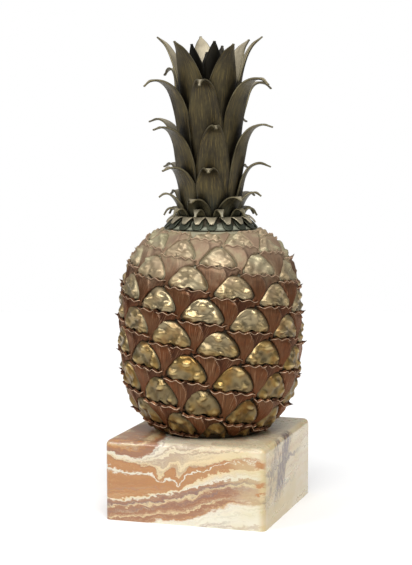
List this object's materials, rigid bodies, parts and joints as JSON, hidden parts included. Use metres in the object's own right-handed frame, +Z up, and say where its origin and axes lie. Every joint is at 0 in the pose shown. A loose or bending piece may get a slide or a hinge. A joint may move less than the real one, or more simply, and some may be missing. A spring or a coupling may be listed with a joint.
{
  "type": "bronze pineapple sculpture",
  "caption": "Cast bronze pineapple ornament with a crown of curling leaves, standing on a block of honey-coloured banded onyx; a table or shelf decoration.",
  "frame": {"origin": "centre of the plinth's underside", "axes": "+Z up; the plinth's front faces -Y and its right side faces +X"},
  "size_m": [0.1556, 0.155, 0.3796],
  "materials": {
    "onyx": "polished honey onyx with wavy cream bands and greyish purple veins",
    "golden_bronze": "cast bronze, golden and rubbed on the eyes, dark green and reddish brown in the hollows",
    "dark_bronze": "cast bronze with a dark olive green patina, worn brown and golden in flecks and along edges"
  },
  "bodies": {
    "root": {"plinth": "onyx", "fruit": "golden_bronze", "collar": "dark_bronze", "heart_leaf_1": "dark_bronze", "heart_leaf_2": "dark_bronze", "heart_leaf_3": "dark_bronze", "inner_leaf_1": "dark_bronze", "inner_leaf_2": "dark_bronze", "inner_leaf_3": "dark_bronze", "inner_leaf_4": "dark_bronze", "top_leaf_1": "dark_bronze", "top_leaf_2": "dark_bronze", "top_leaf_3": "dark_bronze", "top_leaf_4": "dark_bronze", "top_leaf_5": "dark_bronze", "top_leaf_6": "dark_bronze", "upper_leaf_1": "dark_bronze", "upper_leaf_2": "dark_bronze", "upper_leaf_3": "dark_bronze", "upper_leaf_4": "dark_bronze", "upper_leaf_5": "dark_bronze", "upper_leaf_6": "dark_bronze", "middle_leaf_1": "dark_bronze", "middle_leaf_2": "dark_bronze", "middle_leaf_3": "dark_bronze", "middle_leaf_4": "dark_bronze", "middle_leaf_5": "dark_bronze", "middle_leaf_6": "dark_bronze", "lower_leaf_1": "dark_bronze", "lower_leaf_2": "dark_bronze", "lower_leaf_3": "dark_bronze", "lower_leaf_4": "dark_bronze", "lower_leaf_5": "dark_bronze", "lower_leaf_6": "dark_bronze", "base_leaf_1": "dark_bronze", "base_leaf_2": "dark_bronze", "base_leaf_3": "dark_bronze", "base_leaf_4": "dark_bronze", "base_leaf_5": "dark_bronze", "base_leaf_6": "dark_bronze", "base_leaf_7": "dark_bronze", "small_leaf_1": "dark_bronze", "small_leaf_2": "dark_bronze", "small_leaf_3": "dark_bronze", "small_leaf_4": "dark_bronze", "small_leaf_5": "dark_bronze", "small_leaf_6": "dark_bronze", "small_leaf_7": "dark_bronze", "small_leaf_8": "dark_bronze", "small_leaf_9": "dark_bronze", "small_leaf_10": "dark_bronze", "small_leaf_11": "dark_bronze"}
  },
  "joints": []
}
